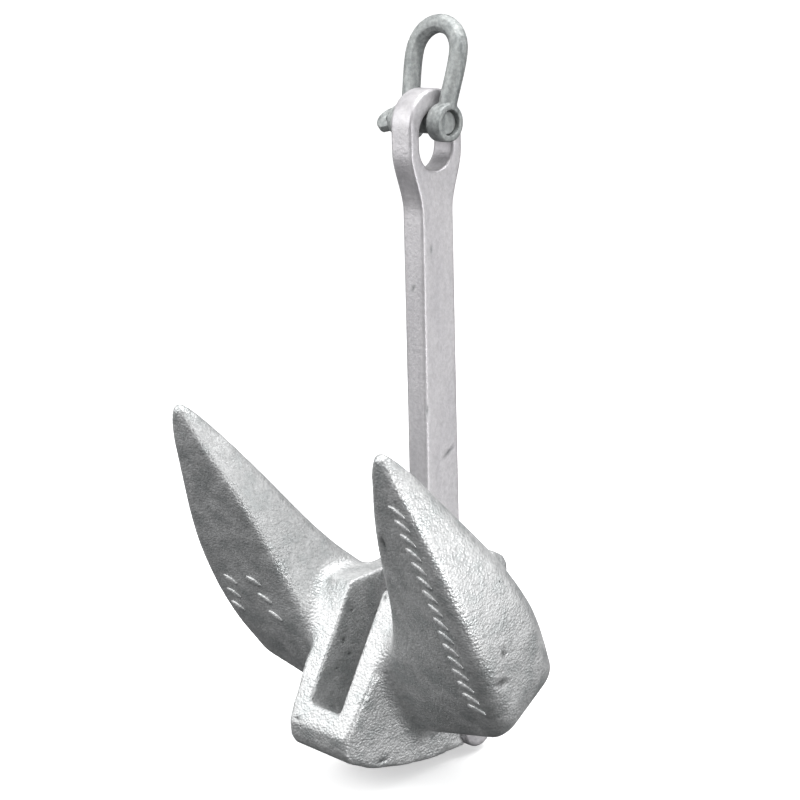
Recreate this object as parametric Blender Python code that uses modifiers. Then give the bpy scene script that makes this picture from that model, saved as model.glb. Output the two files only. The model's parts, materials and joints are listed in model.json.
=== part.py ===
"""Stockless boat anchor: a tilting cast head, a shank with a T foot, and a bow shackle on a screw pin.

The world origin is on the shackle pin's axis, +Z is up along the shank, and X is the tilt axis.
"""

import math

import bmesh
import bpy
from mathutils import Matrix, Vector

MM = 0.001

# Shank: a flat bar with an oblong eye on top and a round cross bar, the trunnion, at its foot.
SHANK_THICKNESS = 18.8 * MM
SHANK_TOP_WIDTH = 31.2 * MM
SHANK_FOOT_WIDTH = 34.4 * MM
SHANK_EDGE = 1.8 * MM
PIN_TO_TRUNNION = 426.7 * MM
TRUNNION_RADIUS = 14.7 * MM
TRUNNION_HALF_LENGTH = 40.0 * MM
EYE_HALF_WIDTH = 25.3 * MM
EYE_TOP = 22.3 * MM
EYE_BOTTOM = -18.0 * MM
NECK_BOTTOM = -60.0 * MM
EYE_HOLE_HALF_WIDTH = 16.0 * MM
EYE_HOLE_TOP = 8.2 * MM
EYE_HOLE_BOTTOM = -32.0 * MM

# Head: the crown block is lower at both ends and narrower in X there, and it carries two flukes.
HEAD_TILT = math.radians(30.6)
CROWN_MID_HALF_WIDTH = 39.0 * MM
CROWN_DRAFT = 0.125
CROWN_RIDGE = 136.0 * MM
CROWN_EDGE = 3.0 * MM
FLUKE_SET = -3.0 * MM
OUTER_BACK_ROUNDING = 1.6
SLOT_HALF_WIDTH = 15.0 * MM
SLOT_BOTTOM = (27.0 * MM, -12.0 * MM)
SLOT_RIM = (76.5 * MM, 94.5 * MM)
SLOT_CORNER = 3.0 * MM
SEAT_RADIUS = TRUNNION_RADIUS + 0.4 * MM
LIP_BOTTOM = -5.0 * MM

# Shackle: half-inch bow pattern.
ROD_RADIUS = 6.35 * MM
BOW_HALF_WIDTH = 19.8 * MM
BOW_LENGTH = 65.5 * MM
BOW_LEAN = math.radians(14.0)
EAR_RADIUS = 12.7 * MM
EAR_INNER = 10.4 * MM
EAR_OUTER = 22.6 * MM
EAR_HOLE_RADIUS = 8.5 * MM
PIN_RADIUS = 7.8 * MM
PIN_END = 19.8 * MM
COLLAR_RADIUS = 10.0 * MM
COLLAR_GAP = 0.9 * MM
COLLAR_THICKNESS = 4.0 * MM
TAB_WIDTH = 21.0 * MM
TAB_THICKNESS = 6.0 * MM
TAB_END = -42.5 * MM
TAB_HOLE_RADIUS = 3.4 * MM
TAB_TURN = math.radians(38.0)


def clear_scene():
    for obj in list(bpy.data.objects):
        bpy.data.objects.remove(obj, do_unlink=True)


def new_collection(name):
    collection = bpy.data.collections.new(name)
    bpy.context.scene.collection.children.link(collection)
    return collection


def metal(name, colour, roughness, metallic):
    material = bpy.data.materials.new(name)
    material.use_nodes = True
    shader = material.node_tree.nodes["Principled BSDF"]
    shader.inputs["Base Color"].default_value = (*colour, 1.0)
    shader.inputs["Roughness"].default_value = roughness
    shader.inputs["Metallic"].default_value = metallic
    return material


def add_mesh(name, mesh, collection, matrix=None):
    obj = bpy.data.objects.new(name, mesh)
    collection.objects.link(obj)
    if matrix is not None:
        obj.matrix_world = matrix
    return obj


def mesh_from(bm, name):
    bmesh.ops.remove_doubles(bm, verts=bm.verts, dist=0.000005)
    bmesh.ops.recalc_face_normals(bm, faces=bm.faces)
    mesh = bpy.data.meshes.new(name)
    bm.to_mesh(mesh)
    bm.free()
    return mesh


def settled_mesh(obj):
    """The object's mesh with its modifiers, and its place, applied."""
    graph = bpy.context.evaluated_depsgraph_get()
    graph.update()
    mesh = bpy.data.meshes.new_from_object(obj.evaluated_get(graph))
    mesh.transform(obj.matrix_world)
    return mesh


def round_bar(name, radius, start, end, segments, collection, y=0.0, z=0.0):
    """A cylinder along X from start to end, through y and z."""
    bm = bmesh.new()
    bmesh.ops.create_cone(
        bm, cap_ends=True, segments=segments, radius1=radius, radius2=radius, depth=end - start
    )
    turn = Matrix.Translation((0.5 * (start + end), y, z)) @ Matrix.Rotation(math.pi / 2, 4, "Y")
    bmesh.ops.transform(bm, matrix=turn, verts=bm.verts)
    return add_mesh(name, mesh_from(bm, name), collection)


def boolean(obj, other, operation):
    """An exact union or difference of obj with the other object."""
    modifier = obj.modifiers.new(operation.lower() + "_" + other.name, "BOOLEAN")
    modifier.object = other
    modifier.operation = operation
    modifier.solver = "EXACT"


def bevel(obj, width, segments, degrees):
    modifier = obj.modifiers.new("edges", "BEVEL")
    modifier.width = width
    modifier.segments = segments
    modifier.limit_method = "ANGLE"
    modifier.angle_limit = math.radians(degrees)


def helper(obj):
    """The same object, marked as a form or cutter that isn't itself a part."""
    obj.hide_render = True
    obj.display_type = "WIRE"
    return obj


def soften(obj, degrees):
    """Smooth shading that keeps edges sharper than the angle."""
    obj.data.polygons.foreach_set("use_smooth", [True] * len(obj.data.polygons))
    obj.data.set_sharp_from_angle(angle=math.radians(degrees))


def finish(name, source, material, collection, matrix):
    """The finished sub-part: source's evaluated shape, put in its own frame and placed."""
    mesh = settled_mesh(source)
    mesh.name = name
    obj = add_mesh(name, mesh, collection, matrix)
    obj.data.materials.clear()
    obj.data.materials.append(material)
    soften(obj, 35)
    return obj


def arc(centre, radii, start, end, steps):
    """Points of an ellipse's arc, angles in degrees from the first axis."""
    points = []
    for index in range(steps + 1):
        angle = math.radians(start + (end - start) * index / steps)
        points.append((centre[0] + radii[0] * math.cos(angle), centre[1] + radii[1] * math.sin(angle)))
    return points


def ogee(start, end, steps):
    """Points of a soft S from start to end, each (y, z), upright at both ends."""
    points = []
    for index in range(steps + 1):
        share = index / steps
        swell = share * share * (3 - 2 * share)
        points.append((start[0] + (end[0] - start[0]) * swell, start[1] + (end[1] - start[1]) * share))
    return points


def mirrored(points):
    """The outline with its other half, turned over the second axis."""
    return points + [(-a, b) for a, b in reversed(points) if abs(a) > 1e-7]


def flat_curve(name, outlines, half_thickness, edge, collection):
    """A plate in the YZ plane with rounded edges: the first outline is the rim, the others are holes."""
    curve = bpy.data.curves.new(name, "CURVE")
    curve.dimensions = "2D"
    curve.fill_mode = "BOTH"
    curve.extrude = half_thickness - edge
    curve.bevel_depth = edge
    curve.bevel_resolution = 1
    curve.offset = -edge
    for outline in outlines:
        spline = curve.splines.new("POLY")
        spline.points.add(len(outline) - 1)
        for point, (y, z) in zip(spline.points, outline):
            point.co = (y, z, 0.0, 1.0)
        spline.use_cyclic_u = True
    obj = bpy.data.objects.new(name, curve)
    collection.objects.link(obj)
    # The curve's own X and Y become world Y and Z.
    obj.matrix_world = Matrix(((0, 0, 1, 0), (1, 0, 0, 0), (0, 1, 0, 0), (0, 0, 0, 1)))
    return obj


def solid_of(obj, name, collection):
    """A closed mesh object from a curve object, in world space."""
    bpy.context.view_layer.update()
    mesh = settled_mesh(obj)
    bm = bmesh.new()
    bm.from_mesh(mesh)
    made = add_mesh(name, mesh_from(bm, name), collection)
    bpy.data.objects.remove(obj, do_unlink=True)
    return helper(made)


def make_shank(parts, cutters, material):
    """The bar, its eye and its rounded foot are one outline; the trunnion crosses the foot."""
    foot = -PIN_TO_TRUNNION
    foot_radius = 0.5 * SHANK_FOOT_WIDTH
    rim = arc((0, foot), (foot_radius, foot_radius), -90, 0, 12)
    rim += ogee((0.5 * SHANK_TOP_WIDTH, NECK_BOTTOM), (EYE_HALF_WIDTH, EYE_BOTTOM), 10)
    rim += arc((0, -2 * MM), (EYE_HALF_WIDTH, EYE_TOP + 2 * MM), 0, 90, 20)
    half = EYE_HOLE_HALF_WIDTH
    hole = arc((0, EYE_HOLE_BOTTOM + half), (half, half), -90, 0, 14)
    hole += arc((0, EYE_HOLE_TOP - half), (half, half), 0, 90, 14)
    plate = flat_curve(
        "shank_plate", [mirrored(rim), mirrored(hole)], 0.5 * SHANK_THICKNESS, SHANK_EDGE, cutters
    )
    body = solid_of(plate, "shank_body", cutters)
    trunnion = round_bar(
        "trunnion_bar", TRUNNION_RADIUS, -TRUNNION_HALF_LENGTH, TRUNNION_HALF_LENGTH, 40, cutters, z=foot
    )
    bevel(trunnion, 1.5 * MM, 2, 60)
    boolean(body, helper(trunnion), "UNION")
    return finish("shank", body, material, parts, None)


def crown_half_width(y):
    """Half the crown's width in X, which the draft makes smaller towards its front and back."""
    return CROWN_MID_HALF_WIDTH - CROWN_DRAFT * abs(y)


def make_crown(cutters):
    """The crown block in the head's own frame, made as the half with y below 0 and mirrored."""
    profile = [(0, CROWN_RIDGE), (-90 * MM, 87 * MM)]
    profile += arc((-83 * MM, 73 * MM), (13 * MM, 13 * MM), 150, 215, 5)
    profile += [(-84 * MM, 49.5 * MM), (-67.5 * MM, 32.5 * MM), (-49 * MM, 17 * MM), (-31.5 * MM, 5 * MM)]
    profile += [(-20 * MM, -1.5 * MM), (-13.5 * MM, LIP_BOTTOM), (0, LIP_BOTTOM)]
    bm = bmesh.new()
    sides = []
    for sign in (-1, 1):
        sides.append([bm.verts.new((sign * crown_half_width(y), y, z)) for y, z in profile])
        bm.faces.new(sides[-1])
    for index in range(len(profile) - 1):
        bm.faces.new((sides[0][index], sides[0][index + 1], sides[1][index + 1], sides[1][index]))
    crown = add_mesh("crown_block", mesh_from(bm, "crown_block"), cutters)
    mirror = crown.modifiers.new("other_half", "MIRROR")
    mirror.use_axis = (False, True, False)
    mirror.merge_threshold = 0.0001
    bevel(crown, CROWN_EDGE, 2, 38)
    return helper(crown)


def fluke_section(inner, outer, inner_half, outer_half, corner):
    """One rounded section of a fluke, from its inner edge to its outer edge, as points in the head's frame.

    The front edges stay fairly crisp, and the outer back edge is rounded most.
    """
    inner = Vector((inner[0], 0, inner[1])) * MM
    outer = Vector((outer[0], 0, outer[1])) * MM
    width = (outer - inner).length
    along = (outer - inner) / width
    # Edge, which way it faces along and through the section, half thickness, rounding, first angle.
    corners = ((0.0, 1, -1, inner_half, 1.0, 180), (width, -1, -1, outer_half, 1.0, 270))
    corners += ((width, -1, 1, outer_half, OUTER_BACK_ROUNDING, 0), (0.0, 1, 1, inner_half, 1.0, 90))
    points = []
    for edge, inward, facing, half, rounding, first in corners:
        half *= MM
        radius = min(corner * rounding * MM, 0.9 * half, 0.45 * width)
        centre = (edge + inward * radius, facing * (half - radius))
        for across, through in arc(centre, (radius, radius), first, first + 90, 4):
            point = inner + along * across
            points.append(Vector((point.x, through, point.z)))
    return points


def make_fluke(name, side, cutters):
    """A spade-shaped fluke, lofted from its foot beside the crown to its tip; side is -1 or 1 in X."""
    # Inner edge, outer edge (X and Z in mm), half thickness at each, corner radius.
    stations = (
        ((20, 33), (108, 58.5), 29, 28, 10),
        ((20, 37), (120, 68.5), 37, 34, 13),
        ((20, 51), (125.5, 84), 39, 35, 15),
        ((23, 79), (128, 105), 39, 36, 14),
        ((31, 109), (130, 128), 35, 34, 11),
        ((43, 131), (130, 151), 29.5, 31.5, 10),
        ((51.5, 156), (128, 176), 24.5, 28, 9),
        ((57.5, 184), (124, 200), 20, 23.5, 8),
        ((64, 213), (119, 223), 16, 18.5, 7),
        ((72, 239), (113.5, 245), 12.5, 14, 6),
        ((80, 260), (108, 264), 9.5, 10.5, 5),
        ((85.5, 275), (103.5, 276.5), 6.5, 7, 3.5),
        ((90, 284.5), (99.5, 285), 3.8, 4, 2.4),
        ((92.2, 287.8), (97.2, 288), 1.8, 2, 1.2),
    )
    bm = bmesh.new()
    rings = []
    for station in stations:
        points = fluke_section(*station)
        rings.append([bm.verts.new((side * p.x, p.y + FLUKE_SET, p.z)) for p in points])
    for lower, upper in zip(rings, rings[1:]):
        count = len(lower)
        for index in range(count):
            after = (index + 1) % count
            bm.faces.new((lower[index], lower[after], upper[after], upper[index]))
    bm.faces.new(rings[0])
    bm.faces.new(rings[-1])
    return helper(add_mesh(name, mesh_from(bm, name), cutters))


def make_slot(cutters):
    """The cutter for the shank's slot, which is longer at the top so that the shank can swing.

    Its two end walls run from SLOT_BOTTOM through SLOT_RIM, each (Y, Z), to above the crown.
    """
    slope = (SLOT_RIM[0] - SLOT_BOTTOM[0]) / (SLOT_RIM[1] - SLOT_BOTTOM[1])
    top = CROWN_RIDGE + 14 * MM
    outline = mirrored([SLOT_BOTTOM, (SLOT_BOTTOM[0] + slope * (top - SLOT_BOTTOM[1]), top)])
    bm = bmesh.new()
    sides = []
    for sign in (-1, 1):
        sides.append([bm.verts.new((sign * SLOT_HALF_WIDTH, y, z)) for y, z in outline])
        bm.faces.new(sides[-1])
    for index in range(len(outline)):
        after = (index + 1) % len(outline)
        bm.faces.new((sides[0][index], sides[0][after], sides[1][after], sides[1][index]))
    ends = [e for e in bm.edges if abs(e.verts[0].co.z - e.verts[1].co.z) > 0.05]
    bmesh.ops.recalc_face_normals(bm, faces=bm.faces)
    bmesh.ops.bevel(bm, geom=ends, offset=SLOT_CORNER, segments=3, affect="EDGES", profile=0.5)
    return helper(add_mesh("slot_cutter", mesh_from(bm, "slot_cutter"), cutters))


def make_head(parts, cutters, material, place):
    """Crown and both flukes joined into one casting, then the slot and the trunnion's seat cut."""
    head = make_crown(cutters)
    for name, side in (("fluke_left_form", -1), ("fluke_right_form", 1)):
        boolean(head, make_fluke(name, side, cutters), "UNION")
    boolean(head, make_slot(cutters), "DIFFERENCE")
    seat = round_bar("seat_cutter", SEAT_RADIUS, -60 * MM, 60 * MM, 48, cutters)
    boolean(head, helper(seat), "DIFFERENCE")
    bpy.context.view_layer.update()
    return finish("head", head, material, parts, place)


def make_bow(parts, cutters, material, place):
    """The bent rod of the shackle with a drilled ear at each end, in a frame whose X is the pin's axis."""
    curve = bpy.data.curves.new("bow_path", "CURVE")
    curve.dimensions = "3D"
    curve.bevel_depth = ROD_RADIUS
    curve.bevel_resolution = 4
    curve.use_fill_caps = True
    curve.resolution_u = 7
    centre = BOW_LENGTH - BOW_HALF_WIDTH
    reach = 0.5523 * BOW_HALF_WIDTH
    ear_middle = 0.5 * (EAR_INNER + EAR_OUTER)
    # Point, then the handles' offset along the path.
    legs = [((-ear_middle, 6 * MM), (0, 9 * MM)), ((-BOW_HALF_WIDTH, centre - 4 * MM), (0, 9 * MM))]
    path = legs + [((-BOW_HALF_WIDTH, centre), (0, reach)), ((0, BOW_LENGTH), (reach, 0))]
    path += [((-x, z), (hx, -hz)) for (x, z), (hx, hz) in reversed(path[:3])]
    spline = curve.splines.new("BEZIER")
    spline.bezier_points.add(len(path) - 1)
    for point, ((x, z), (hx, hz)) in zip(spline.bezier_points, path):
        point.handle_left_type = "FREE"
        point.handle_right_type = "FREE"
        point.co = (x, 0, z)
        point.handle_left = (x - hx, 0, z - hz)
        point.handle_right = (x + hx, 0, z + hz)
    leg = 4 * MM
    for first, second in ((1, 2), (4, 5)):
        lower, upper = spline.bezier_points[first], spline.bezier_points[second]
        direction = (upper.co - lower.co).normalized()
        lower.handle_right = lower.co + direction * leg / 3
        upper.handle_left = upper.co - direction * leg / 3
    obj = bpy.data.objects.new("bow_path", curve)
    cutters.objects.link(obj)
    rod = solid_of(obj, "bow_rod", cutters)
    for name, sign in (("ear_left_form", -1), ("ear_right_form", 1)):
        ends = sorted((sign * EAR_INNER, sign * EAR_OUTER))
        ear = round_bar(name, EAR_RADIUS, ends[0], ends[1], 32, cutters)
        bevel(ear, 1.6 * MM, 2, 60)
        boolean(rod, helper(ear), "UNION")
    drill = round_bar("ear_drill", EAR_HOLE_RADIUS, -30 * MM, 30 * MM, 32, cutters)
    boolean(rod, helper(drill), "DIFFERENCE")
    bpy.context.view_layer.update()
    return finish("shackle_bow", rod, material, parts, place)


def make_pin(parts, cutters, material):
    """The screw pin: a round shank with a chamfered end, a collar, and a flat drilled tab to turn it by."""
    collar_face = -(EAR_OUTER + COLLAR_GAP)
    collar_back = collar_face - COLLAR_THICKNESS
    pin = round_bar("pin_shank", PIN_RADIUS, collar_face - 2 * MM, PIN_END, 32, cutters)
    bevel(pin, 1.2 * MM, 2, 60)
    helper(pin)
    collar = round_bar("pin_collar", COLLAR_RADIUS, collar_back, collar_face, 32, cutters)
    bevel(collar, 0.9 * MM, 2, 60)
    boolean(pin, helper(collar), "UNION")
    radius = 0.5 * TAB_WIDTH
    root = collar_back + 1.5 * MM
    outline = [(root, -0.72 * radius), (root, 0.72 * radius)]
    outline += arc((TAB_END + radius, 0), (radius, radius), 100, 260, 10)
    hole = arc((TAB_END + radius, 0), (TAB_HOLE_RADIUS, TAB_HOLE_RADIUS), 0, 345, 15)
    tab_curve = flat_curve("pin_tab_plate", [outline, hole], 0.5 * TAB_THICKNESS, 1.2 * MM, cutters)
    # The tab's outline was drawn with its length first, which belongs along X.
    tab_curve.matrix_world = Matrix.Rotation(TAB_TURN, 4, "X")
    tab = solid_of(tab_curve, "pin_tab", cutters)
    boolean(pin, tab, "UNION")
    bpy.context.view_layer.update()
    return finish("shackle_pin", pin, material, parts, None)


def build():
    clear_scene()
    parts = new_collection("boat_anchor")
    cutters = new_collection("forms")
    cutters.hide_render = True
    casting = metal("galvanised_cast_steel", (0.48, 0.49, 0.48), 0.55, 0.35)
    forging = metal("galvanised_forged_steel", (0.56, 0.56, 0.55), 0.45, 0.5)
    hardware = metal("galvanised_shackle_steel", (0.42, 0.43, 0.44), 0.42, 0.6)
    make_shank(parts, cutters, forging)
    head_place = Matrix.Translation((0, 0, -PIN_TO_TRUNNION)) @ Matrix.Rotation(HEAD_TILT, 4, "X")
    make_head(parts, cutters, casting, head_place)
    make_bow(parts, cutters, hardware, Matrix.Rotation(-BOW_LEAN, 4, "X"))
    make_pin(parts, cutters, hardware)


build()
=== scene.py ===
# Stockless boat anchor: the cast head, the shank with its cross foot, and the bow shackle.
import json
import math
import bmesh
import bpy
import numpy as np
from mathutils import Matrix, Vector


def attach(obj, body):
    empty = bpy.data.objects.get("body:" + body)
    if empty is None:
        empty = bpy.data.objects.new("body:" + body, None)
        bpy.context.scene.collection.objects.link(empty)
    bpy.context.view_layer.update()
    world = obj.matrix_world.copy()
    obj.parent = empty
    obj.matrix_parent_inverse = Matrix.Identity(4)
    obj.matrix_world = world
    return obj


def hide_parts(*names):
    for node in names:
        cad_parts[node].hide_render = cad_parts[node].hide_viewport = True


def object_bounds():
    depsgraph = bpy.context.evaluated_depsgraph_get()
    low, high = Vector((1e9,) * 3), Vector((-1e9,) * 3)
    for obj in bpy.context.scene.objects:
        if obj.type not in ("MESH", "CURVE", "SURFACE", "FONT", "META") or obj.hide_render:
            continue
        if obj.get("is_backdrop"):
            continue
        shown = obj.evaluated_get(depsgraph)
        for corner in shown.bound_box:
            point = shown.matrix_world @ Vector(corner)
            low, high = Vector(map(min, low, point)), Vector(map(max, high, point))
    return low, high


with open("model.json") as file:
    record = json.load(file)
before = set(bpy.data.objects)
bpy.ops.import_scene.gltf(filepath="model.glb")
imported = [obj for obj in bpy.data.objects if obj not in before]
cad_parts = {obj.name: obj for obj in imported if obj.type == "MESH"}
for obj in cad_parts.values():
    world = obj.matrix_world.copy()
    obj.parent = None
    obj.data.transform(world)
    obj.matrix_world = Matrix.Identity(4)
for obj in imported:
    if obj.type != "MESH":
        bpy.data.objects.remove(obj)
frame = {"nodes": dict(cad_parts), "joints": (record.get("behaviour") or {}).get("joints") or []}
cadLow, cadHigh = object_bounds()
print("frame loaded:", ", ".join(sorted(frame["nodes"])))

mm = 0.001
scene = bpy.context.scene


def linearColour(code):
    parts = [int(code[i:i + 2], 16) / 255 for i in (1, 3, 5)]
    return [c / 12.92 if c <= 0.04045 else ((c + 0.055) / 1.055) ** 2.4 for c in parts] + [1.0]


def addNode(tree, kind, settings=None, links=None):
    # settings: attribute or socket -> value; links: socket -> the output that feeds it
    node = tree.nodes.new(kind)
    for key, value in (settings or {}).items():
        if isinstance(key, str) and hasattr(node, key):
            setattr(node, key, value)
        else:
            node.inputs[key].default_value = value
    for key, source in (links or {}).items():
        tree.links.new(source, node.inputs[key])
    return node


def linked(name, mesh):
    obj = bpy.data.objects.new(name, mesh)
    scene.collection.objects.link(obj)
    return obj


def meshObject(name, points, faces):
    mesh = bpy.data.meshes.new(name)
    mesh.from_pydata([tuple(p) for p in points], [], faces)
    mesh.update()
    return linked(name, mesh)


def turnOut(obj):
    work = bmesh.new()
    work.from_mesh(obj.data)
    bmesh.ops.recalc_face_normals(work, faces=work.faces)
    work.to_mesh(obj.data)
    work.free()


def mergedCopy(node, name):
    # a CAD node's triangles are loose, so its copy is merged before anything else
    mesh = frame["nodes"][node].data.copy()
    mesh.materials.clear()
    work = bmesh.new()
    work.from_mesh(mesh)
    bmesh.ops.remove_doubles(work, verts=work.verts, dist=0.01 * mm)
    bmesh.ops.recalc_face_normals(work, faces=work.faces)
    work.to_mesh(mesh)
    work.free()
    return linked(name, mesh)


def discard(obj):
    bpy.data.objects.remove(obj, do_unlink=True)


def settle(obj, name):
    # turns an object and its modifiers into one plain mesh at the origin
    bpy.context.view_layer.update()
    graph = bpy.context.evaluated_depsgraph_get()
    mesh = bpy.data.meshes.new_from_object(obj.evaluated_get(graph), depsgraph=graph)
    mesh.transform(obj.matrix_world)
    result = linked(name, mesh)
    discard(obj)
    result.name = name
    return result


def addRemesh(obj, voxelMm):
    remesh = obj.modifiers.new("skin", "REMESH")
    remesh.mode = "VOXEL"
    remesh.voxel_size = voxelMm * mm


def fused(pieces, name, voxelMm):
    # overlapping closed forms become one skin
    work = bmesh.new()
    for piece in pieces:
        work.from_mesh(piece.data)
        discard(piece)
    mesh = bpy.data.meshes.new(name)
    work.to_mesh(mesh)
    work.free()
    obj = linked(name, mesh)
    addRemesh(obj, voxelMm)
    return settle(obj, name)


class Skin:
    # the points of a mesh with their neighbours, for rounding and denting it
    def __init__(self, obj):
        self.mesh = obj.data
        count = len(self.mesh.vertices)
        self.points = np.zeros(count * 3)
        self.mesh.vertices.foreach_get("co", self.points)
        self.points = self.points.reshape(-1, 3)
        edges = np.zeros(len(self.mesh.edges) * 2, int)
        self.mesh.edges.foreach_get("vertices", edges)
        self.edges = edges.reshape(-1, 2)
        self.degree = np.bincount(edges, minlength=count)[:, None]

    def around(self, values):
        # the mean of each point's neighbours
        total = np.zeros_like(values)
        for k in range(values.shape[1]):
            total[:, k] = np.bincount(self.edges[:, 0], values[self.edges[:, 1], k], len(values))
            total[:, k] += np.bincount(self.edges[:, 1], values[self.edges[:, 0], k], len(values))
        return total / self.degree

    def normals(self):
        self.put()
        flat = np.zeros(len(self.points) * 3)
        self.mesh.vertices.foreach_get("normal", flat)
        return flat.reshape(-1, 3)

    def round(self, times):
        # a step in and a slightly larger step back out round the edges and keep the bulk
        for _ in range(times):
            for step in (0.5, -0.52):
                self.points = self.points + step * (self.around(self.points) - self.points)

    def fillet(self, times, hollowMm, spread):
        # fills only the hollow corners, as a pattern maker's leather fillet does
        hollow = ((self.around(self.points) - self.points) * self.normals()).sum(1)
        share = np.clip(hollow / (hollowMm * mm), 0, 1)[:, None]
        for _ in range(spread):
            share = np.maximum(share, 0.96 * self.around(share) + 0.04 * share)
            share = np.clip(share * 1.12, 0, 1)
        for _ in range(times):
            self.points = self.points + 0.5 * share * (self.around(self.points) - self.points)

    def put(self):
        self.mesh.vertices.foreach_set("co", self.points.ravel())
        self.mesh.update()


def dent(skin, knocks):
    # each knock: a point near the skin, its direction, half length, half width and depth in mm
    mark = np.zeros(len(skin.points))
    normals = skin.normals()
    for place, along, length, width, depth in knocks:
        nearest = ((skin.points - np.array(place) * mm) ** 2).sum(1).argmin()
        offset = skin.points - skin.points[nearest]
        run = offset @ (np.array(along) / np.linalg.norm(along))
        across = np.sqrt(np.maximum((offset ** 2).sum(1) - run ** 2, 0))
        fall = np.exp(-((run / (length * mm)) ** 2 + (across / (width * mm)) ** 2))
        skin.points = skin.points - normals * (fall * depth * mm)[:, None]
        mark = np.maximum(mark, fall)
    skin.put()
    return mark


def setAttribute(obj, name, values):
    attribute = obj.data.attributes.new(name, "FLOAT", "POINT")
    attribute.data.foreach_set("value", np.asarray(values, np.float32))


def finishPiece(obj, material, node, body):
    obj.data.materials.clear()
    obj.data.materials.append(material)
    obj.data.polygons.foreach_set("use_smooth", [True] * len(obj.data.polygons))
    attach(obj, body)
    if node:
        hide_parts(node)
    obj.data.calc_loop_triangles()
    print(f"{obj.name}: {len(obj.data.loop_triangles)} triangles")


cameraSizes = {
    "place": (0.776, -0.829, 0.100),
    "yaw": 45.76,      # degrees from -X towards +Y
    "pitch": 14.39,    # degrees downwards
    "roll": -1.52,
    "lens": 75.8,
    "clip": (0.05, 250),
}


def makeCamera(size):
    yaw, pitch, roll = (math.radians(size[key]) for key in ("yaw", "pitch", "roll"))
    level = math.cos(pitch)
    ahead = Vector((-math.cos(yaw) * level, math.sin(yaw) * level, -math.sin(pitch)))
    right = Vector((math.sin(yaw), math.cos(yaw), 0))
    up = right.cross(ahead)
    turnedRight = right * math.cos(roll) + up * math.sin(roll)
    turnedUp = up * math.cos(roll) - right * math.sin(roll)
    data = bpy.data.cameras.new("studioCamera")
    data.lens = size["lens"]
    data.clip_start, data.clip_end = size["clip"]
    camera = linked("studioCamera", data)
    axes = Matrix((turnedRight, turnedUp, -ahead)).transposed()
    camera.matrix_world = Matrix.Translation(size["place"]) @ axes.to_4x4()
    scene.camera = camera


makeCamera(cameraSizes)
print("camera placed")


def newSkinTree(name):
    # an empty material, and the piece's own coordinates to lay its patterns on
    material = bpy.data.materials.new(name)
    material.use_nodes = True
    tree = material.node_tree
    tree.nodes.clear()
    return material, tree, addNode(tree, "ShaderNodeTexCoord").outputs["Object"]


def setRamp(node, stops):
    # stops: position and colour, from dark to light
    ramp = node.color_ramp
    for element, (position, code) in zip((ramp.elements[0], ramp.elements[1]), (stops[0], stops[-1])):
        element.position = position
        element.color = linearColour(code)
    for position, code in stops[1:-1]:
        ramp.elements.new(position).color = linearColour(code)


castingLook = {
    "tones": ((0.36, "#C1C4C4"), (0.5, "#CDCECE"), (0.66, "#D8D9D9")),
    # painted shade for the pinholes, also used as the darker tone of the knocks
    "pinholeShadeAndKnockTone": "#3E4040",
    "patchMm": 14.0,          # the zinc froze in duller and brighter patches
    "grainMm": 1.2,           # fine tooth of the zinc
    "grainDepthMm": 0.5,
    "grainTone": (0.86, 1.06),
    "sandMm": 1.75,           # moulding sand left its grain in the skin
    "sandDepthMm": 0.45,
    "swellDepthMm": 0.9,
    "pitMm": 13.0,            # spacing of the pinholes that gas leaves
    "pitRim": (0.02, 0.075),  # where a pinhole's edge starts and ends, as a share of the spacing
    "pitDepthMm": 0.7,
    "cleanShare": 0.72,       # places without a pinhole
    "roughness": 0.46,
    "metallic": 0.72,
}


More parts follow.
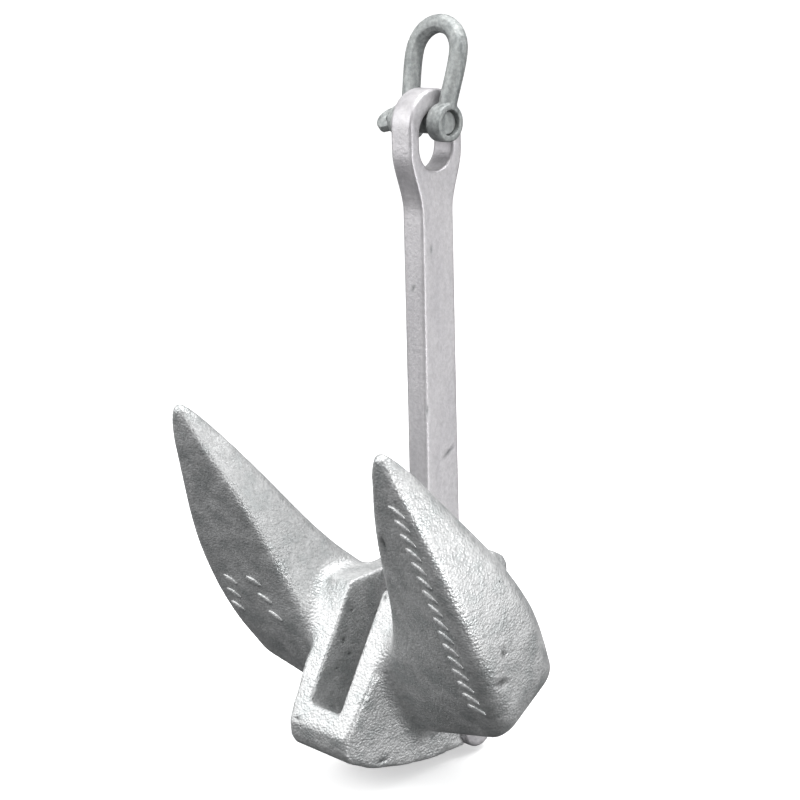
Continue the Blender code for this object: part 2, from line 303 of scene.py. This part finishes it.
def galvanisedCasting(look):
    # Hot-dip galvanised sand casting: a bright but broken sheen over a grainy skin, with the odd pinhole
    # painted dark as shade
    material, tree, place = newSkinTree("galvanisedSandCasting")
    fineScale = 500 / look["grainMm"]
    patch = addNode(tree, "ShaderNodeTexNoise",
                    {"Scale": 1000 / look["patchMm"], "Detail": 4.0, "Roughness": 0.6}, {"Vector": place})
    grain = addNode(tree, "ShaderNodeTexNoise",
                    {"Scale": fineScale, "Detail": 3.0, "Roughness": 0.65}, {"Vector": place})
    swell = addNode(tree, "ShaderNodeTexNoise",
                    {"Scale": 0.4 * fineScale, "Detail": 2.0, "Roughness": 0.5}, {"Vector": place})
    sand = addNode(tree, "ShaderNodeTexVoronoi", {"Scale": 1000 / look["sandMm"]}, {"Vector": place})
    base = addNode(tree, "ShaderNodeValToRGB", {}, {"Fac": patch.outputs["Fac"]})
    setRamp(base, look["tones"])
    speckle = addNode(tree, "ShaderNodeMapRange",
                      {"From Min": 0.38, "From Max": 0.62,
                       "To Min": look["grainTone"][0], "To Max": look["grainTone"][1]},
                      {"Value": grain.outputs["Fac"]})
    toned = addNode(tree, "ShaderNodeMix", {"data_type": "RGBA", "blend_type": "MULTIPLY", 0: 1.0},
                    {6: base.outputs["Color"], 7: speckle.outputs["Result"]})
    # a cell's own colour picks the few cells that hold a pinhole, whose dark colour is painted shade in the
    # hole
    cells = addNode(tree, "ShaderNodeTexVoronoi", {"Scale": 1000 / look["pitMm"]}, {"Vector": place})
    pitShape = addNode(tree, "ShaderNodeMapRange",
                       {"From Min": look["pitRim"][0], "From Max": look["pitRim"][1],
                        "To Min": 0.8, "To Max": 0.0},
                       {"Value": cells.outputs["Distance"]})
    picked = addNode(tree, "ShaderNodeSeparateColor", {}, {"Color": cells.outputs["Color"]})
    chosen = addNode(tree, "ShaderNodeMath", {"operation": "GREATER_THAN", 1: look["cleanShare"]},
                     {0: picked.outputs[0]})
    pinholeShade = addNode(tree, "ShaderNodeMath", {"operation": "MULTIPLY"},
                   {0: pitShape.outputs["Result"], 1: chosen.outputs[0]})
    knocked = addNode(tree, "ShaderNodeAttribute", {"attribute_name": "dent"})
    # one dark colour for both: painted shade in the pinholes, and a darker tone towards the middle of each
    # knock
    dark = addNode(tree, "ShaderNodeMath", {"operation": "MAXIMUM"},
                   {0: pinholeShade.outputs[0], 1: knocked.outputs["Fac"]})
    coloured = addNode(tree, "ShaderNodeMix", {"data_type": "RGBA", 7: linearColour(look["pinholeShadeAndKnockTone"])},
                       {0: dark.outputs[0], 6: toned.outputs[2]})
    rough = addNode(tree, "ShaderNodeMapRange",
                    {"From Min": 0.3, "From Max": 0.7,
                     "To Min": look["roughness"] - 0.08, "To Max": look["roughness"] + 0.10},
                    {"Value": patch.outputs["Fac"]})
    tooth = addNode(tree, "ShaderNodeBump", {"Strength": 0.6, "Distance": look["grainDepthMm"] * mm},
                    {"Height": grain.outputs["Fac"]})
    pebbles = addNode(tree, "ShaderNodeBump",
                      {"Strength": 0.75, "Distance": look["sandDepthMm"] * mm, "invert": True},
                      {"Height": sand.outputs["Distance"], "Normal": tooth.outputs["Normal"]})
    waves = addNode(tree, "ShaderNodeBump", {"Strength": 0.5, "Distance": look["swellDepthMm"] * mm},
                    {"Height": swell.outputs["Fac"], "Normal": pebbles.outputs["Normal"]})
    holes = addNode(tree, "ShaderNodeBump",
                    {"Strength": 0.7, "Distance": look["pitDepthMm"] * mm, "invert": True},
                    {"Height": dark.outputs[0], "Normal": waves.outputs["Normal"]})
    shader = addNode(tree, "ShaderNodeBsdfPrincipled", {"Metallic": look["metallic"]},
                     {"Base Color": coloured.outputs[2], "Roughness": rough.outputs["Result"],
                      "Normal": holes.outputs["Normal"]})
    addNode(tree, "ShaderNodeOutputMaterial", {}, {"Surface": shader.outputs["BSDF"]})
    return material


barLook = {
    "tones": ((0.34, "#BEBCBF"), (0.64, "#CBC9CB")),
    "knockTone_colour": "#6E7172",
    "runMm": 40.0,         # zinc drains down the bar as it leaves the bath
    "runStretch": 0.22,
    "runDepthMm": 1.0,
    "grainMm": 1.3,
    "grainDepth": 0.7,
    "mottle": 0.10,
    "roughness": 0.45,
    "metallic": 0.60,
}
shackleLook = dict(
    barLook,
    tones=((0.34, "#868A8A"), (0.64, "#ABAEAD")),
    knockTone_colour="#4A4C4D",
    runMm=16.0,
    grainMm=1.2,
    grainDepth=1.0,
    mottle=0.20,           # older zinc, gone dull and blotchy
    roughness=0.56,
    metallic=0.55,
)


def galvanisedBar(look, name):
    # Hot-dip galvanised rolled or forged steel: smoother than the casting, with faint runs along its length
    material, tree, place = newSkinTree(name)
    drawn = addNode(tree, "ShaderNodeMapping", {"Scale": (1.0, 1.0, look["runStretch"])}, {"Vector": place})
    runs = addNode(tree, "ShaderNodeTexNoise",
                   {"Scale": 3000 / look["runMm"], "Detail": 4.0, "Roughness": 0.55},
                   {"Vector": drawn.outputs[0]})
    grain = addNode(tree, "ShaderNodeTexNoise",
                    {"Scale": 500 / look["grainMm"], "Detail": 3.0, "Roughness": 0.6}, {"Vector": place})
    base = addNode(tree, "ShaderNodeValToRGB", {}, {"Fac": runs.outputs["Fac"]})
    setRamp(base, look["tones"])
    speckle = addNode(tree, "ShaderNodeMapRange",
                      {"From Min": 0.36, "From Max": 0.64,
                       "To Min": 1 - look["mottle"], "To Max": 1 + 0.5 * look["mottle"]},
                      {"Value": grain.outputs["Fac"]})
    toned = addNode(tree, "ShaderNodeMix", {"data_type": "RGBA", "blend_type": "MULTIPLY", 0: 1.0},
                    {6: base.outputs["Color"], 7: speckle.outputs["Result"]})
    knocked = addNode(tree, "ShaderNodeAttribute", {"attribute_name": "dent"})
    # the knocks are darker towards the middle of each dent
    coloured = addNode(tree, "ShaderNodeMix", {"data_type": "RGBA", 7: linearColour(look["knockTone_colour"])},
                       {0: knocked.outputs["Fac"], 6: toned.outputs[2]})
    rough = addNode(tree, "ShaderNodeMapRange",
                    {"From Min": 0.3, "From Max": 0.7,
                     "To Min": look["roughness"] - 0.06, "To Max": look["roughness"] + 0.10},
                    {"Value": runs.outputs["Fac"]})
    tooth = addNode(tree, "ShaderNodeBump", {"Strength": look["grainDepth"], "Distance": 0.4 * mm},
                    {"Height": grain.outputs["Fac"]})
    waves = addNode(tree, "ShaderNodeBump", {"Strength": 0.4, "Distance": look["runDepthMm"] * mm},
                    {"Height": runs.outputs["Fac"], "Normal": tooth.outputs["Normal"]})
    shader = addNode(tree, "ShaderNodeBsdfPrincipled", {"Metallic": look["metallic"]},
                     {"Base Color": coloured.outputs[2], "Roughness": rough.outputs["Result"],
                      "Normal": waves.outputs["Normal"]})
    addNode(tree, "ShaderNodeOutputMaterial", {}, {"Surface": shader.outputs["BSDF"]})
    return material


castingSkin = galvanisedCasting(castingLook)
barSkin = galvanisedBar(barLook, "galvanisedRolledBar")
shackleSkin = galvanisedBar(shackleLook, "galvanisedForging")
print("materials made")


# the head, in millimetres: its own origin is on the trunnion's axis and its Z runs up the flukes
headSizes = {
    "tilt": 30.6,                   # degrees from the shank's line, at rest
    "ridge": (0, 136),              # Y and Z of points down the crown's front, to its lowest lip
    "shoulder": (-90, 87),
    "nose": (-83, 73, 13),          # centre and radius of the round below the shoulder
    "keel": [(-84, 49.5), (-67.5, 32.5), (-49, 17), (-31.5, 5), (-20, -1.5), (-13.5, -5)],
    "halfWidth": 39.0,
    "draft": 0.125,                 # the crown narrows by this share of the way to each end
    "slotHalf": 15.0,
    "slotCorner": 3.0,
    "slotBottom": (27.0, -12.0),    # half length, height
    "slotRim": (76.5, 94.5),
    "slotTop": 160.0,
    "seatRadius": 15.1,
    "seatReach": 60.0,
    "flukeSet": -3.0,
    "backRounding": 1.6,            # the outer back edge is rounded this much more than the others
    "voxel": 2.2,
    "skinVoxel": 1.75,
    # inner edge, outer edge (X and Z), half thickness at each, corner radius, from foot to tip
    "flukeStations": [
        ((20, 33), (108, 58.5), 29, 28, 10),
        ((20, 37), (120, 68.5), 37, 34, 13),
        ((20, 51), (125.5, 84), 39, 35, 15),
        ((23, 79), (128, 105), 39, 36, 14),
        ((31, 109), (130, 128), 35, 34, 11),
        ((43, 131), (130, 151), 29.5, 31.5, 10),
        ((51.5, 156), (128, 176), 24.5, 28, 9),
        ((57.5, 184), (124, 200), 20, 23.5, 8),
        ((64, 213), (119, 223), 16, 18.5, 7),
        ((72, 239), (113.5, 245), 12.5, 14, 6),
        ((80, 260), (108, 264), 9.5, 10.5, 5),
        ((85.5, 275), (103.5, 276.5), 6.5, 7, 3.5),
        ((90, 284.5), (99.5, 285), 3.8, 4, 2.4),
        ((92.2, 287.8), (97.2, 288), 1.8, 2, 1.2),
    ],
    # knocks and blowholes on the finished head, in the anchor's own frame
    "knocks": [
        ((76, -128, -246), (0, 0.4, -0.9), 5, 1.6, 0.9),
        ((130, -77, -321), (0, 0.3, -1), 4, 2.0, 0.9),
        ((128, -78, -341), (0, 1, -0.3), 6, 2.8, 1.3),
        ((19, -71, -313), (0, 0.6, 0.6), 2.5, 1.4, 0.6),
        ((-15, -78, -350), (0, 0.4, 1), 2.6, 1.5, 0.7),
        ((-15, -74, -362), (0, 1, 0.2), 2.0, 1.3, 0.6),
        ((-15, -70, -330), (0, 0.4, 1), 1.8, 1.2, 0.6),
        ((-15, -86, -368), (0, 0.4, 1), 1.7, 1.2, 0.5),
        ((-20, -121, -396), (1, 0, 0), 3.0, 1.2, 0.6),
        ((30, -89, -424), (0, 1, 0), 4.0, 1.4, 0.7),
    ],
    "knockTone": 0.75,
}


def smoothStations(stations, between):
    # a smooth curve through every station, with some more rows between each two
    rows = np.array([[*inner, *outer, *rest] for inner, outer, *rest in stations], float)
    out = []
    for i in range(len(rows) - 1):
        p0, p1, p2 = rows[max(i - 1, 0)], rows[i], rows[i + 1]
        p3 = rows[min(i + 2, len(rows) - 1)]
        for k in range(between):
            t = k / between
            bend = (2 * p0 - 5 * p1 + 4 * p2 - p3) * t * t + (3 * p1 - p0 - 3 * p2 + p3) * t ** 3
            out.append(0.5 * (2 * p1 + (p2 - p0) * t + bend))
    out.append(rows[-1])
    return out


def flukeSection(size, row, steps=7):
    # one rounded section, whose front edges stay fairly crisp
    inner, outer = row[0:2], row[2:4]
    innerHalf, outerHalf, corner = row[4:]
    width = np.linalg.norm(outer - inner)
    along = (outer - inner) / width
    # place across the section, height through it, rounding, first angle
    corners = ((0, -innerHalf, 1.0, 180), (width, -outerHalf, 1.0, 270))
    corners += ((width, outerHalf, size["backRounding"], 0), (0, innerHalf, 1.0, 90))
    section = []
    for a, y, rounding, start in corners:
        radius = min(corner * rounding, abs(y) * 0.9, width * 0.45)
        centreA = radius if a == 0 else width - radius
        centreY = y + radius if y < 0 else y - radius
        for k in range(steps + 1):
            angle = math.radians(start + 90 * k / steps)
            x, z = inner + along * (centreA + radius * math.cos(angle))
            section.append((x, centreY + radius * math.sin(angle), z))
    return section


def makeFluke(size, side):
    rings = [flukeSection(size, row) for row in smoothStations(size["flukeStations"], 6)]
    points = [Vector((side * x, y + size["flukeSet"], z)) * mm for ring in rings for x, y, z in ring]
    count = len(rings[0])
    last = (len(rings) - 1) * count
    faces = [tuple(range(count)), tuple(range(last, last + count))]
    for first in range(0, last, count):
        for i in range(count):
            j = (i + 1) % count
            faces.append((first + i, first + j, first + count + j, first + count + i))
    obj = meshObject("flukeForm", points, faces)
    turnOut(obj)
    return obj


def makeCrown(size):
    noseY, noseZ, noseRadius = size["nose"]
    half = [size["ridge"], size["shoulder"]]
    for degrees in range(150, 216, 8):
        angle = math.radians(degrees)
        half.append((noseY + noseRadius * math.cos(angle), noseZ + noseRadius * math.sin(angle)))
    half += size["keel"]
    outline = half + [(-y, z) for y, z in reversed(half[1:])]
    points = []
    for sign in (-1, 1):
        for y, z in outline:
            width = size["halfWidth"] - size["draft"] * abs(y)
            points.append(Vector((sign * width, y, z)) * mm)
    count = len(outline)
    faces = [tuple(range(count)), tuple(range(count, 2 * count))]
    for i in range(count):
        j = (i + 1) % count
        faces.append((i, j, count + j, count + i))
    obj = meshObject("crownForm", points, faces)
    # the side faces aren't flat, so they are split into triangles
    work = bmesh.new()
    work.from_mesh(obj.data)
    bmesh.ops.triangulate(work, faces=[f for f in work.faces if len(f.verts) > 4])
    bmesh.ops.recalc_face_normals(work, faces=work.faces)
    work.to_mesh(obj.data)
    work.free()
    return obj


def makeSlotForm(size):
    # the cutter for the shank's slot, wider at its top
    (bottomHalf, bottom), (rimHalf, rim), top = size["slotBottom"], size["slotRim"], size["slotTop"]
    topHalf = bottomHalf + (rimHalf - bottomHalf) / (rim - bottom) * (top - bottom)
    ends = [(-bottomHalf, bottom), (bottomHalf, bottom), (topHalf, top), (-topHalf, top)]
    points = [Vector((sign * size["slotHalf"], y, z)) * mm for sign in (-1, 1) for y, z in ends]
    faces = [(0, 1, 2, 3), (4, 5, 6, 7)] + [(i, (i + 1) % 4, 4 + (i + 1) % 4, 4 + i) for i in range(4)]
    obj = meshObject("slotForm", points, faces)
    turnOut(obj)
    work = bmesh.new()
    work.from_mesh(obj.data)
    upright = [e for e in work.edges if abs(e.verts[0].co.z - e.verts[1].co.z) > 50 * mm]
    corner = size["slotCorner"] * mm
    bmesh.ops.bevel(work, geom=upright, offset=corner, segments=4, affect="EDGES", profile=0.5)
    work.to_mesh(obj.data)
    work.free()
    return obj


def makeSeatForm(size, sides=96):
    # the cutter for the trunnion's seat, a round bar along X
    points = []
    for sign in (-1, 1):
        for k in range(sides):
            angle = 2 * math.pi * k / sides
            y, z = size["seatRadius"] * math.cos(angle), size["seatRadius"] * math.sin(angle)
            points.append(Vector((sign * size["seatReach"], y, z)) * mm)
    faces = [tuple(range(sides)), tuple(range(sides, 2 * sides))]
    faces += [(k, (k + 1) % sides, sides + (k + 1) % sides, sides + k) for k in range(sides)]
    obj = meshObject("seatForm", points, faces)
    turnOut(obj)
    return obj


def makeHead(size):
    forms = [makeCrown(size), makeFluke(size, -1), makeFluke(size, 1)]
    body = fused(forms, "castHead", size["voxel"])
    skin = Skin(body)
    skin.fillet(70, 0.2, 8)
    skin.put()
    cutters = (makeSlotForm(size), makeSeatForm(size))
    for form in cutters:
        cut = body.modifiers.new("cut", "BOOLEAN")
        cut.operation = "DIFFERENCE"
        cut.solver = "EXACT"
        cut.object = form
    addRemesh(body, size["skinVoxel"])
    body = settle(body, "castHead")
    for form in cutters:
        discard(form)
    skin = Skin(body)
    skin.round(5)
    skin.put()
    joint = next(j for j in frame["joints"] if j["name"] == "head_tilt")
    lean = Matrix.Rotation(math.radians(size["tilt"]), 4, "X")
    body.data.transform(Matrix.Translation(joint["pos_m"]) @ lean)
    mark = dent(Skin(body), size["knocks"])
    setAttribute(body, "dent", size["knockTone"] * mark)
    return body


head = makeHead(headSizes)
finishPiece(head, castingSkin, "head", "head")
print("head cast")


# raised ribs on the flukes' front faces, cast in one with them
ribSizes = {
    # a line in millimetres for each row of ribs, a little off the face or in it
    "rows": [
        [(101, -142, -217), (109, -110, -294), (111, -81, -362)],
        [(-105, -100, -319), (-110, -89, -343)],
        [(-80, -101, -315), (-69, -91, -341)],
    ],
    "spacing": 10.2,
    "length": 14.0,
    "width": 5.8,
    "height": 1.45,
    "inwards": (0.0, 0.92, 0.39),      # the way that a rib is dropped onto the face
    "standOff": 0.03,                  # metres back from the line before it is dropped
    "along": (0.90, 0.18, -0.42),      # the way that each rib lies
}


def ribTree(size):
    # lines near the surface become evenly spaced ribs that lie on it
    tree = bpy.data.node_groups.new("raisedRibs", "GeometryNodeTree")
    face = tree.interface
    face.new_socket("Geometry", in_out="INPUT", socket_type="NodeSocketGeometry")
    for name in ("Spacing", "Rib length", "Rib width", "Rib height"):
        face.new_socket(name, in_out="INPUT", socket_type="NodeSocketFloat")
    face.new_socket("Surface", in_out="INPUT", socket_type="NodeSocketObject")
    face.new_socket("Finish", in_out="INPUT", socket_type="NodeSocketMaterial")
    face.new_socket("Geometry", in_out="OUTPUT", socket_type="NodeSocketGeometry")
    given = addNode(tree, "NodeGroupInput").outputs
    line = addNode(tree, "GeometryNodeMeshToCurve", {}, {"Mesh": given["Geometry"]})
    spaced = addNode(tree, "GeometryNodeResampleCurve", {"mode": "LENGTH"},
                     {"Curve": line.outputs["Curve"], "Length": given["Spacing"]})
    points = addNode(tree, "GeometryNodeCurveToPoints", {"mode": "EVALUATED"},
                     {"Curve": spaced.outputs["Curve"]})
    target = addNode(tree, "GeometryNodeObjectInfo", {"transform_space": "RELATIVE"},
                     {"Object": given["Surface"]})
    here = addNode(tree, "GeometryNodeInputPosition")
    backwards = tuple(-size["standOff"] * c for c in size["inwards"])
    back = addNode(tree, "ShaderNodeVectorMath", {"operation": "ADD", 1: backwards},
                   {0: here.outputs["Position"]})
    drop = addNode(tree, "GeometryNodeRaycast", {"Ray Direction": size["inwards"], "Ray Length": 0.1},
                   {"Target Geometry": target.outputs["Geometry"], "Source Position": back.outputs["Vector"]})
    landed = addNode(tree, "GeometryNodeSetPosition", {},
                     {"Geometry": points.outputs["Points"], "Position": drop.outputs["Hit Position"]})
    upright = addNode(tree, "FunctionNodeAlignRotationToVector", {"axis": "Z"},
                      {"Vector": drop.outputs["Hit Normal"]})
    turned = addNode(tree, "FunctionNodeAlignRotationToVector",
                     {"axis": "X", "pivot_axis": "Z", "Vector": size["along"]},
                     {"Rotation": upright.outputs["Rotation"]})
    bead = addNode(tree, "GeometryNodeMeshUVSphere", {"Segments": 16, "Rings": 8, "Radius": 0.5})
    sized = addNode(tree, "ShaderNodeCombineXYZ", {},
                    {"X": given["Rib length"], "Y": given["Rib width"], "Z": given["Rib height"]})
    shaped = addNode(tree, "GeometryNodeTransform", {},
                     {"Geometry": bead.outputs["Mesh"], "Scale": sized.outputs["Vector"]})
    placed = addNode(tree, "GeometryNodeInstanceOnPoints", {},
                     {"Points": landed.outputs["Geometry"], "Instance": shaped.outputs["Geometry"],
                      "Rotation": turned.outputs["Rotation"]})
    real = addNode(tree, "GeometryNodeRealizeInstances", {}, {"Geometry": placed.outputs["Instances"]})
    dressed = addNode(tree, "GeometryNodeSetMaterial", {},
                      {"Geometry": real.outputs["Geometry"], "Material": given["Finish"]})
    addNode(tree, "NodeGroupOutput", {}, {"Geometry": dressed.outputs["Geometry"]})
    return tree


def makeRibs(size, surface, finish):
    points, edges = [], []
    for row in size["rows"]:
        first = len(points)
        points += [Vector(p) * mm for p in row]
        edges += [(first + i, first + i + 1) for i in range(len(row) - 1)]
    mesh = bpy.data.meshes.new("castRibs")
    mesh.from_pydata(points, edges, [])
    obj = linked("castRibs", mesh)
    tree = ribTree(size)
    modifier = obj.modifiers.new("ribs", "NODES")
    modifier.node_group = tree
    keys = {item.name: item.identifier for item in tree.interface.items_tree if item.in_out == "INPUT"}
    modifier[keys["Spacing"]] = size["spacing"] * mm
    modifier[keys["Rib length"]] = size["length"] * mm
    modifier[keys["Rib width"]] = size["width"] * mm
    modifier[keys["Rib height"]] = 2 * size["height"] * mm  # half of each bead is in the casting
    modifier[keys["Surface"]] = surface
    modifier[keys["Finish"]] = finish
    return settle(obj, "castRibs")


ribs = makeRibs(ribSizes, head, castingSkin)
finishPiece(ribs, castingSkin, None, "head")
print("ribs raised")


shankSizes = {
    "node": "shank",
    "body": "shank",
    "voxel": 1.15,
    "rounding": 3,
    "knocks": [
        ((9, 6, -229), (0, 0.9, 0.5), 5.5, 1.4, 0.6),
        ((9, -15, -196), (0, 0, 1), 4.5, 1.3, 0.7),
        ((9, -8, -84), (0, 0.2, 1), 3.0, 1.0, 0.3),
        ((0, -16, -111), (0.4, 0, 1), 3.0, 1.0, 0.3),
    ],
    "knockTone": 0.8,
}
bowSizes = {"node": "shackle_bow", "body": "bow", "voxel": 0.65, "rounding": 4, "knocks": [], "knockTone": 0}
pinSizes = {"node": "shackle_pin", "body": "pin", "voxel": 0.5, "rounding": 4, "knocks": [], "knockTone": 0}


def wornCopy(size, name):
    # the frame's own solid with its edges rounded and its knocks made
    piece = mergedCopy(size["node"], name)
    addRemesh(piece, size["voxel"])
    piece = settle(piece, name)
    skin = Skin(piece)
    skin.round(size["rounding"])
    mark = dent(skin, size["knocks"])
    setAttribute(piece, "dent", size["knockTone"] * mark)
    return piece


shank = wornCopy(shankSizes, "rolledShank")
finishPiece(shank, barSkin, shankSizes["node"], shankSizes["body"])
for size, name in ((bowSizes, "shackleBow"), (pinSizes, "shacklePin")):
    piece = wornCopy(size, name)
    finishPiece(piece, shackleSkin, size["node"], size["body"])
print("shank and shackle made")


studioSizes = {
    "floorHalf": 90.0,      # metres, so that no edge of the floor shows
    "floorDrop": 0.002,
    "paper": "#F4F4F4",
    "glow": 0.45,           # keeps the paper pale away from the lamps
    "room": ((0.0, "#272929"), (0.5, "#868688"), (1.0, "#FFFFFF")),   # straight down, level, straight up
    # place, target, width and height, watts
    "lamps": {
        "overhead": ((0.3, 0.1, 1.2), (0, 0, -0.3), (1.3, 1.3), 27),
        "sideFill": ((1.45, 0.85, -0.42), (0, 0, -0.34), (1.4, 1.3), 7.2),
        "lowFill": ((1.25, -0.15, -0.42), (0, 0, -0.38), (0.6, 0.3), 9.5),
        "frontLeft": ((-1.0, -0.95, 0.30), (0, 0, -0.15), (0.8, 1.3), 7.5),
        "frontHigh": ((-0.2, -0.95, 0.25), (0, -0.15, -0.2), (0.5, 0.4), 3.2),
    },
}


def makeFloor(size):
    # Matt paper sweep: even and pale, with only a soft contact shadow
    low = min(cadLow.z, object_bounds()[0].z) - size["floorDrop"]
    half = size["floorHalf"]
    corners = [(-half, -half, low), (half, -half, low), (half, half, low), (-half, half, low)]
    floor = meshObject("studioFloor", corners, [(0, 1, 2, 3)])
    material = bpy.data.materials.new("mattPaperSweep")
    material.use_nodes = True
    shader = material.node_tree.nodes["Principled BSDF"]
    shader.inputs["Base Color"].default_value = linearColour(size["paper"])
    shader.inputs["Roughness"].default_value = 0.9
    shader.inputs["Emission Color"].default_value = linearColour("#FFFFFF")
    shader.inputs["Emission Strength"].default_value = size["glow"]
    floor.data.materials.append(material)
    # the zinc doesn't mirror the paper, so the undersides stay dark
    floor.visible_glossy = False
    floor.visible_diffuse = False
    floor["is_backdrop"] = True


def areaLight(name, place, target, shape, power):
    data = bpy.data.lights.new(name, "AREA")
    data.shape = "RECTANGLE"
    data.size, data.size_y = shape
    data.energy = power
    lamp = linked(name, data)
    lamp.location = place
    lamp.rotation_euler = (Vector(target) - Vector(place)).to_track_quat("-Z", "Y").to_euler()


def makeRoom(size):
    # a room that is dark below and bright above, and plain white where it shows past the floor
    world = bpy.data.worlds.new("studioRoom")
    scene.world = world
    world.use_nodes = True
    tree = world.node_tree
    tree.nodes.clear()
    way = addNode(tree, "ShaderNodeTexCoord").outputs["Generated"]
    height = addNode(tree, "ShaderNodeSeparateXYZ", {}, {"Vector": way}).outputs["Z"]
    share = addNode(tree, "ShaderNodeMapRange", {"From Min": -1.0, "From Max": 1.0}, {"Value": height})
    shade = addNode(tree, "ShaderNodeValToRGB", {}, {"Fac": share.outputs["Result"]})
    setRamp(shade, size["room"])
    seen = addNode(tree, "ShaderNodeLightPath").outputs["Is Camera Ray"]
    sky = addNode(tree, "ShaderNodeMix", {"data_type": "RGBA", 7: linearColour("#FFFFFF")},
                  {0: seen, 6: shade.outputs["Color"]})
    back = addNode(tree, "ShaderNodeBackground", {"Strength": 1.0}, {"Color": sky.outputs[2]})
    addNode(tree, "ShaderNodeOutputWorld", {}, {"Surface": back.outputs["Background"]})


makeFloor(studioSizes)
makeRoom(studioSizes)
for name, (place, target, shape, power) in studioSizes["lamps"].items():
    areaLight(name, place, target, shape, power)
scene.view_settings.view_transform = "Standard"
scene.view_settings.look = "None"
print("floor and light set")
